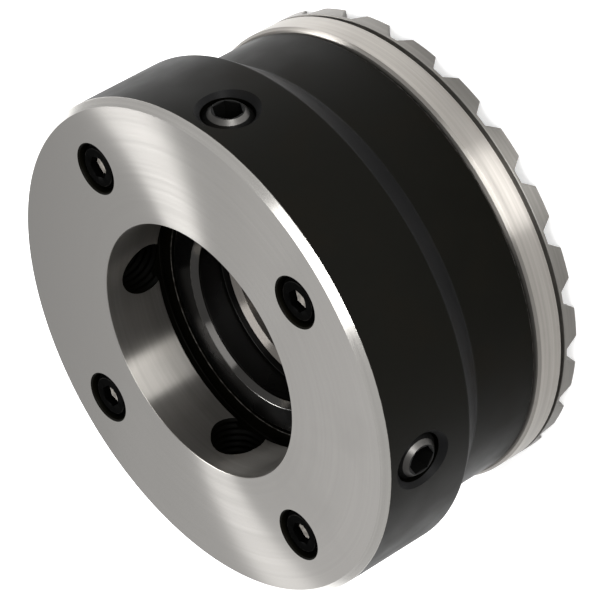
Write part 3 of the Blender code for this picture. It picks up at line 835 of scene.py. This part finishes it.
def finish_named(name):
    """Return a finish, made when it is first asked for."""
    if name in bpy.data.materials:
        return bpy.data.materials[name]
    look = bpy.context.scene.adapter_finishes
    flange = bpy.context.scene.adapter_body_sizes.flange_radius
    black, worn, rough = look.screw_black, look.oxide_worn, look.oxide_roughness
    cap, cap_worn, rubbed = darker(black, 0.25), darker(worn, 0.2), darker(worn, 0.3)
    lay = (look.lay_turn, look.face_painted_shade, flange)
    finishes = {
        "blackened_body": (black_oxide, look.oxide, worn, rough),
        # Painted sheen: the cone and countersinks take a lighter black than the body.
        "blackened_cone": (black_oxide, look.cone, look.cone, rough),
        "blackened_screw": (black_oxide, black, worn, rough - 0.06, 0.03, rubbed, look.bare),
        # Painted highlight: the cap screws' socket floors take the pale socket floor colour.
        "blackened_cap_screw": (black_oxide, cap, cap_worn, rough, 0.005, look.socket_floor),
        "hardened_sleeve": (black_oxide, black, worn, 0.26, 0.30),
        # Painted shade: the threads in the radial holes take a darker black than the body, standing
        # in for the shade inside the holes.
        "oiled_thread": (black_oxide, darker(look.oxide, 0.5), look.oxide, 0.5, 0.02),
        "ground_face": (turned_steel, look.steel, look.face_roughness, 1.0, 0.02, *lay),
        "turned_chamfer": (turned_steel, look.chamfer, 0.20, 0.2, 0.05),
        "ground_land": (turned_steel, look.land, 0.30, 1.0, 0.05),
        "turned_band": (turned_steel, look.band, look.band_roughness, 1.0, 0.14),
        "turned_lip": (turned_steel, look.lip, 0.14, 0.6, 0.05),
        "tapered_seat": (turned_steel, look.polished, 0.26, 0.9, 0.05),
        "milled_crown": (turned_steel, look.crown, 0.42, 0.7, 0.10),
        "pad_bronze_turned": (soft_metal, look.bronze, 0.34),
        "moulded_rubber": (dull_rubber, look.rubber, 0.62),
    }
    make, *values = finishes[name]
    return make(name, *values)


def put_on(piece, body, slot, *nodes):
    """Let a finished piece ride on a body in place of its CAD nodes."""
    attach(piece, body)
    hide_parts(*nodes)


# Operators, one for each piece or group of like pieces


class ADAPTER_OT_body(bpy.types.Operator):
    """Build the adapter body: flange, cone and neck with a ground face and a stepped socket"""

    bl_idname = "adapter.body"
    bl_label = "Adapter Body"

    def execute(self, context):
        size = context.scene.adapter_body_sizes
        screw = context.scene.adapter_screw_sizes
        front, base = size.front, size.base
        chamfer, edge, mouth = size.front_chamfer, size.edge_chamfer, size.mouth_chamfer
        corners = [
            (size.socket_radius + mouth, front, 0.0, GROUND),
            (size.flange_radius - chamfer, front, 0.0, BROKEN),
            (size.flange_radius, front - chamfer, 0.00025),
            (size.flange_radius, size.flange_base, 0.0008, CONE, 0.0),
            (size.neck_radius, size.neck_top, 0.0012),
            (size.neck_radius, base + edge, 0.00015),
            (size.neck_radius - edge, base),
            (size.groove_outer, base),
            (size.groove_outer, size.groove_top),
            (size.groove_inner, size.groove_top),
            (size.groove_inner, base),
            (size.seat_flange_radius, base),
            (size.seat_flange_radius, size.seat_flange_top),
            (size.seat_radius, size.seat_flange_top),
            (size.seat_radius, size.undercut_base, 0.00015),
            (size.undercut_radius, size.undercut_base, 0.0003),
            (size.undercut_radius, size.land_base, 0.0003),
            (size.socket_radius, size.land_base, 0.0002, POLISHED),
            (size.socket_radius, front - mouth, 0.0, POLISHED),
        ]
        names = ("blackened_body", "ground_face", "ground_land", "turned_chamfer", "blackened_cone")
        finishes = [finish_named(name) for name in names]
        body = lathe("flanged_body", corners, 288, finishes)
        black = finishes[:1]
        eighth = math.pi / 4
        turns = quarter_turns(eighth)
        radial_places = [outwards(size.flange_radius, turn, screw.radial_height) for turn in turns]
        # Painted shade on the holes' threads; the countersinks take the cone's lighter black, a
        # painted sheen.
        threaded = [finish_named("oiled_thread"), finishes[CONE]]
        dowel_bore = bore("dowel_bores", screw.dowel_hole, base + screw.dowel_depth, base, black)
        pin_top = size.seat_flange_top + screw.pin_depth
        pin_bore = bore("pin_bore", screw.pin_radius + PIN_ROOM, pin_top, base, black)
        pin_circle = (size.seat_radius + size.seat_flange_radius) / 2 - PIN_ROOM
        holes = [
            (self.counterbore(size, screw, black), screw_places(screw.circle_radius)),
            (self.radial_hole(size, screw, threaded), radial_places),
            (dowel_bore, dowel_places(screw.circle_radius)),
            (pin_bore, [upright(pin_circle, eighth)]),
        ]
        cut_holes(body, holes)
        put_on(body, "adapter", "black_oxide_steel", "adapter_body")
        return {"FINISHED"}

    @staticmethod
    def counterbore(size, screw, finishes):
        """Cutter for a counterbore with a broken edge and a through hole."""
        broken = 0.0003
        top, low = size.front + OVERSHOOT, size.base - OVERSHOOT
        corners = [
            (0.0, top),
            (screw.bore_radius + broken + OVERSHOOT, top, 0.0),
            (screw.bore_radius, size.front - broken),
            (screw.bore_radius, screw.bore_floor),
            (screw.hole_radius, screw.bore_floor),
            (screw.hole_radius, low, 0.0),
            (0.0, low),
        ]
        return lathe("counterbore", corners, 64, finishes)

    @staticmethod
    def radial_hole(size, screw, finishes):
        """Cutter for a countersunk, threaded hole from the flange to the socket."""
        hole, sink, pitch = screw.radial_hole, screw.countersink, screw.radial_pitch
        low = size.socket_radius - size.flange_radius - OVERSHOOT
        corners = [
            (0.0, OVERSHOOT),
            (hole + sink + OVERSHOOT, OVERSHOOT, 0.0),
            (hole, -sink),
            (hole, low, 0.0),
            (0.0, low),
        ]
        cutter = lathe("radial_hole", corners, 64, finishes, (pitch / 8, low, 0.0))
        depth, tree = screw.hole_thread, thread_tree()
        run_thread(cutter, tree, pitch, depth, hole, low - 2 * pitch, -sink, *finishes)
        return cutter


class ADAPTER_OT_sleeve(bpy.types.Operator):
    """Build the taper sleeve: annular face, lip, relief and tapered seat"""

    bl_idname = "adapter.sleeve"
    bl_label = "Taper Sleeve"

    def execute(self, context):
        size = context.scene.adapter_sleeve_sizes
        screw = context.scene.adapter_screw_sizes
        chamfer, bevel, lead = size.chamfer, size.lip_chamfer, size.lead_in
        corners = [
            (size.lip_radius + bevel, size.top, 0.0003),
            (size.radius - chamfer, size.top),
            (size.radius, size.top - chamfer),
            (size.radius, size.groove_top),
            (size.groove_radius, size.groove_top),
            (size.groove_radius, size.groove_base),
            (size.radius, size.groove_base),
            (size.radius, size.flange_top),
            (size.flange_radius, size.flange_top),
            (size.flange_radius, size.base),
            (size.seat_base_radius, size.base, 0.0002, POLISHED),
            (size.mouth_radius - lead / 7, size.seat_top - lead, 0.0002, POLISHED),
            (size.mouth_radius + lead, size.seat_top + lead / 4, 0.0001, GROUND),
            (size.relief_radius, size.seat_top + chamfer),
            (size.relief_radius, size.relief_top),
            (size.lip_radius, size.relief_top, 0.0001, GROUND),
            (size.lip_radius, size.top - bevel, 0.0002, GROUND),
        ]
        names = ("hardened_sleeve", "turned_lip", "tapered_seat")
        finishes = [finish_named(name) for name in names]
        sleeve = lathe("seat_sleeve", corners, 192, finishes)
        top = size.flange_top + OVERSHOOT
        hole = bore("sleeve_pin_bore", screw.pin_radius + PIN_ROOM, top, size.base, finishes[:1])
        place = upright((size.radius + size.flange_radius) / 2, math.pi / 4)
        cut_holes(sleeve, [(hole, [place])])
        put_on(sleeve, "adapter", "hardened_steel", "taper_sleeve")
        return {"FINISHED"}


class ADAPTER_OT_ring(bpy.types.Operator):
    """Build the coupling ring: bright band, turned groove and a crown of face teeth"""

    bl_idname = "adapter.ring"
    bl_label = "Coupling Ring"

    def execute(self, context):
        size = context.scene.adapter_ring_sizes
        screw = context.scene.adapter_screw_sizes
        inner = size.radius - size.groove_depth
        corners = [
            (size.bore_radius, size.top, 0.0003),
            (size.radius - size.chamfer, size.top),
            (size.radius, size.top - size.chamfer),
            (size.radius, size.groove_top, 0.00015),
            (inner, size.groove_top),
            (inner, size.rim_top),
            (size.radius, size.rim_top),
            (size.radius, 0.0, 0.00018),
            (size.recess_radius, 0.0, 0.00018),
            (size.recess_radius, size.recess_height, 0.0003),
            (size.bore_radius, size.recess_height, 0.0003),
        ]
        band = finish_named("turned_band")
        ring = lathe("crown_ring", corners, self.tooth_angles(size), [band])
        gap = {"gap_mouth": size.gap_mouth, "gap_root": size.gap_root, "corner": size.corner}
        tooth = {"teeth": size.tooth_count, "tooth_height": size.tooth_height, **gap}
        crown = {"crown_level": 0.0006, "crown_height": size.rim_top, "outer_radius": size.radius}
        crown["crown_material"] = finish_named("milled_crown")
        use_tree(ring, teeth_tree(), material=band, **tooth, **crown)
        plain(ring)
        thread = (screw.face_pitch, screw.face_thread)
        tapped = self.through_hole("tapped_hole", screw.tapped_radius, size, band, *thread)
        dowelled = self.through_hole("ring_dowel_bore", screw.dowel_hole, size, band)
        circle = screw.circle_radius
        cut_holes(ring, [(tapped, screw_places(circle)), (dowelled, dowel_places(circle))])
        put_on(ring, "adapter", "ground_steel", "coupling_ring")
        return {"FINISHED"}

    @staticmethod
    def tooth_angles(size):
        """Angles with more steps where a tooth gap's sides and corners lie."""
        pitch = 2 * math.pi * size.radius / size.tooth_count
        root = size.gap_root / 2
        mouth = size.gap_mouth / 2
        near = size.corner
        marks = [0.0, root - 2 * near, root - near, root, root + near, root + 2.5 * near]
        marks += [(root + mouth) / 2, mouth - 2.5 * near, mouth - near, mouth, mouth + near]
        marks += [mouth + 2 * near, (mouth + pitch / 2) / 2]
        offsets = [-mark for mark in reversed(marks[1:])] + marks + [pitch / 2]
        return [
            (offset / pitch + number) * 2 * math.pi / size.tooth_count
            for number in range(size.tooth_count)
            for offset in offsets
        ]

    @staticmethod
    def through_hole(name, radius, size, band, pitch=None, depth=0.0):
        """Cutter for a hole through the ring, threaded where a pitch is given."""
        broken = 0.00025
        top, low = size.top + OVERSHOOT, size.recess_height - OVERSHOOT
        corners = [
            (0.0, top),
            (radius, top, 0.0),
            (radius, size.recess_height + broken, 0.0),
            (radius + broken + OVERSHOOT, low, 0.0),
            (0.0, low),
        ]
        spacing = (pitch / 8, size.recess_height, top) if pitch else None
        cutter = lathe(name, corners, 48, [band], spacing)
        if pitch:
            lowest, highest = size.recess_height + broken, top + 2 * pitch
            run_thread(cutter, thread_tree(), pitch, depth, radius, lowest, highest, band)
        return cutter


class ADAPTER_OT_face_screws(bpy.types.Operator):
    """Build the four cap screws in the front face, threaded where they enter the ring"""

    bl_idname = "adapter.face_screws"
    bl_label = "Face Screws"

    def execute(self, context):
        size = context.scene.adapter_screw_sizes
        top = context.scene.adapter_body_sizes.front - size.head_sink
        thread_top = context.scene.adapter_ring_sizes.top - top
        tip = size.tip_height - top
        head, shank, edge = size.head_radius, size.shank_radius, size.edge
        corners = [
            (0.0, 0.0),
            (head - edge, 0.0, 0.00015),
            (head, -edge, 0.00015),
            (head, -size.head_height),
            (shank, -size.head_height),
            (shank, tip + edge),
            (shank - edge, tip),
            (0.0, tip),
        ]
        black = finish_named("blackened_cap_screw")
        screws = lathe("cap_screws", corners, 48, [black], (size.face_pitch / 8, tip, thread_top))
        thread = (size.face_pitch, -size.face_thread, shank, tip + edge / 2, thread_top)
        run_thread(screws, thread_tree(), *thread, black)
        socket = {"key_size": size.face_key, "depth": size.face_socket, "mouth": 0.0002}
        use_tree(screws, socket_tree(), material=black, **socket)
        place = {"count": 4, "circle_radius": size.circle_radius, "height": top}
        use_tree(screws, circle_tree(), material=black, **place)
        plain(screws)
        nodes = [f"face_screw_{number}" for number in range(1, 5)]
        put_on(screws, "adapter", "black_screw_steel", *nodes)
        return {"FINISHED"}


class ADAPTER_OT_radial_screws(bpy.types.Operator):
    """Build the four radial set screws and the soft pads in their tips"""

    bl_idname = "adapter.radial_screws"
    bl_label = "Radial Screws"

    def execute(self, context):
        size = context.scene.adapter_screw_sizes
        reach, radius, pitch = size.radial_length, size.radial_radius, size.radial_pitch
        face, bare, edge = size.radial_face, size.radial_bare, size.edge
        stem_end, pad_base, pad_face = 0.0019 - reach, -0.0003 - reach, -0.0015 - reach
        corners = [
            (0.0, 0.0),
            (face, 0.0, 0.0, BROKEN),
            (face + bare, -bare, 0.0),
            (radius, face - radius, 0.0001, BLACK, 0.3),
            (radius, edge - reach),
            (radius - edge, -reach),
            (size.tip_bore, -reach),
            (size.tip_bore, size.tip_depth - reach),
            (0.0, size.tip_depth - reach),
        ]
        pad_corners = [
            (0.0, stem_end),
            (size.pad_stem, stem_end, 0.0002),
            (size.pad_stem, pad_base),
            (size.pad_radius, pad_base),
            (size.pad_radius, pad_face, 0.0003),
            (0.0, pad_face),
        ]
        black = finish_named("blackened_screw")
        bronze = finish_named("pad_bronze_turned")
        threads, sockets, circle = thread_tree(), socket_tree(), circle_tree()
        thread = (pitch, -size.radial_thread, radius, -reach, face - radius + edge)
        socket = {"key_size": size.radial_key, "depth": size.radial_socket, "mouth": 0.0004}
        place = {"count": 1, "circle_radius": size.radial_outer, "height": size.radial_height}
        place["tilt"] = math.pi / 2
        for number, turn in enumerate(quarter_turns(math.pi / 4), 1):
            screw = lathe(f"set_screw_{number}", corners, 48, [black], (pitch / 8, -reach, 0.0))
            run_thread(screw, threads, *thread, black)
            use_tree(screw, sockets, material=black, **socket)
            pad = lathe(f"soft_pad_{number}", pad_corners, 48, [bronze])
            for piece, material in ((screw, black), (pad, bronze)):
                use_tree(piece, circle, first_angle=turn, material=material, **place)
                plain(piece)
            put_on(screw, f"adjuster_{number}", "black_screw_steel", f"adjusting_screw_{number}")
            put_on(pad, f"adjuster_{number}", "pad_bronze", f"tip_pad_{number}")
        return {"FINISHED"}


class ADAPTER_OT_pins(bpy.types.Operator):
    """Build the two dowels between body and ring, and the sleeve's pin"""

    bl_idname = "adapter.pins"
    bl_label = "Dowels and Pin"

    def execute(self, context):
        size = context.scene.adapter_screw_sizes
        steel = finish_named("turned_band")
        for name, nodes, radius, circle in (
            ("dowels", ("dowel_pin_1", "dowel_pin_2"), size.dowel_radius, size.circle_radius),
            ("locating_pin", ("sleeve_pin",), size.pin_radius, size.pin_circle),
        ):
            low, high = (corner.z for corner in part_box(nodes[0]))
            edge = radius / 4
            corners = [
                (0.0, high),
                (radius - edge, high),
                (radius, high - edge),
                (radius, low + edge),
                (radius - edge, low),
                (0.0, low),
            ]
            pins = lathe(name, corners, 48, [steel])
            place = {"circle_radius": circle, "first_angle": math.pi / 4}
            use_tree(pins, circle_tree(), count=len(nodes), material=steel, **place)
            plain(pins)
            put_on(pins, "adapter", "ground_steel", *nodes)
        return {"FINISHED"}


class ADAPTER_OT_seals(bpy.types.Operator):
    """Finish the two seals as moulded rubber"""

    bl_idname = "adapter.seals"
    bl_label = "Seals"

    def execute(self, context):
        rubber = finish_named("moulded_rubber")
        for name in ("sleeve_seal", "joint_seal"):
            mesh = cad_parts[name].data
            mesh.materials.clear()
            mesh.materials.append(rubber)
        return {"FINISHED"}


class ADAPTER_OT_stage(bpy.types.Operator):
    """Set the floor, the lamps, the sky and the camera at the photograph's angle"""

    bl_idname = "adapter.stage"
    bl_label = "Stage"

    def execute(self, context):
        settings = context.scene.adapter_stage
        self.make_floor(settings.floor_colour)
        self.make_sky(context, settings.sky_strength)
        for lamp in LAMPS:
            self.make_lamp(context, settings.lamp_scale, *lamp)
        self.make_camera(context, settings)
        context.scene.view_settings.view_transform = "Standard"
        return {"FINISHED"}

    @staticmethod
    def make_floor(tint):
        """Wide pale floor that keeps the object's shadow, and looks white to the camera."""
        bm = bmesh.new()
        bmesh.ops.create_circle(bm, cap_ends=True, segments=96, radius=6.0)
        material, nodes = new_material("pale_floor")
        rays = nodes.add("ShaderNodeLightPath").node.outputs
        seen = nodes.maths("MAXIMUM", rays["Is Camera Ray"], rays["Is Glossy Ray"])
        seen = nodes.maths("MAXIMUM", seen, rays["Is Transmission Ray"])
        values = {
            "Base Color": (*tint, 1.0),
            "Roughness": 0.9,
            "Specular IOR Level": 0.1,
            "Emission Color": (1.0, 1.0, 1.0, 1.0),
            "Emission Strength": nodes.product(seen, 0.30),
        }
        nodes.shade(values)
        floor = new_object("floor", bm, [material])
        floor.location.z = -0.0001

    @staticmethod
    def make_sky(context, strength):
        """Even pale light from all round."""
        world = bpy.data.worlds.new("studio")
        world.use_nodes = True
        background = world.node_tree.nodes["Background"]
        background.inputs["Color"].default_value = (1.0, 1.0, 1.0, 1.0)
        background.inputs["Strength"].default_value = strength
        context.scene.world = world

    @staticmethod
    def make_lamp(context, scale, name, azimuth, elevation, distance, width, height, strength):
        """Softbox that points at the object."""
        light = bpy.data.lights.new(name, "AREA")
        light.shape = "RECTANGLE"
        light.size = width
        light.size_y = height
        light.energy = strength * scale * math.pi * width * height
        lamp = bpy.data.objects.new(name, light)
        around = math.radians(azimuth)
        above = math.radians(elevation)
        level = math.cos(above)
        towards = Vector((math.cos(around) * level, math.sin(around) * level, math.sin(above)))
        facing = towards.to_track_quat("Z", "Y").to_matrix().to_4x4()
        centre = Vector((0.0, 0.0, 0.03))
        lamp.matrix_world = Matrix.Translation(centre + towards * distance) @ facing
        lamp.visible_camera = False
        context.scene.collection.objects.link(lamp)

    @staticmethod
    def make_camera(context, settings):
        """Camera at the photograph's angle, rolled so that the axis lies across the picture."""
        data = bpy.data.cameras.new("photo_camera")
        data.lens = settings.lens
        data.sensor_width = 36.0
        data.clip_start = 0.01
        data.clip_end = 50.0
        camera = bpy.data.objects.new("photo_camera", data)
        spin = Matrix.Rotation(settings.camera_azimuth, 4, "Z")
        tip = Matrix.Rotation(math.pi / 2 - settings.camera_elevation, 4, "X")
        roll = Matrix.Rotation(settings.camera_roll, 4, "Z")
        facing = spin @ tip @ roll
        aim = Vector((settings.aim_right, settings.aim_up, settings.camera_distance))
        front = Vector((0.0, 0.0, context.scene.adapter_body_sizes.front))
        camera.matrix_world = Matrix.Translation(front + facing.to_3x3() @ aim) @ facing
        context.scene.collection.objects.link(camera)
        context.scene.camera = camera


class ADAPTER_PT_panel(bpy.types.Panel):
    """Lists the pieces of the adapter and the stage"""

    bl_idname = "ADAPTER_PT_panel"
    bl_label = "Taper Adapter"
    bl_space_type = "VIEW_3D"
    bl_region_type = "UI"
    bl_category = "Adapter"

    def draw(self, context):
        for operator in OPERATORS:
            self.layout.operator(operator.bl_idname, text=operator.bl_label)


GROUPS = {
    "adapter_body_sizes": BodySizes,
    "adapter_sleeve_sizes": SleeveSizes,
    "adapter_ring_sizes": RingSizes,
    "adapter_screw_sizes": ScrewSizes,
    "adapter_finishes": Finishes,
    "adapter_stage": StageSettings,
}
OPERATORS = (
    ADAPTER_OT_body,
    ADAPTER_OT_sleeve,
    ADAPTER_OT_ring,
    ADAPTER_OT_face_screws,
    ADAPTER_OT_radial_screws,
    ADAPTER_OT_pins,
    ADAPTER_OT_seals,
    ADAPTER_OT_stage,
)
CLASSES = (*GROUPS.values(), *OPERATORS, ADAPTER_PT_panel)


def register():
    """Register the classes and hang the settings on the scene."""
    for cls in CLASSES:
        bpy.utils.register_class(cls)
    for name, group in GROUPS.items():
        setattr(bpy.types.Scene, name, PointerProperty(type=group))


def unregister():
    """Undo what register did."""
    for name in GROUPS:
        delattr(bpy.types.Scene, name)
    for cls in reversed(CLASSES):
        bpy.utils.unregister_class(cls)


def main():
    """Build every piece and the stage."""
    register()
    for operator in OPERATORS:
        group, name = operator.bl_idname.split(".")
        getattr(getattr(bpy.ops, group), name)()


if __name__ == "__main__":
    main()
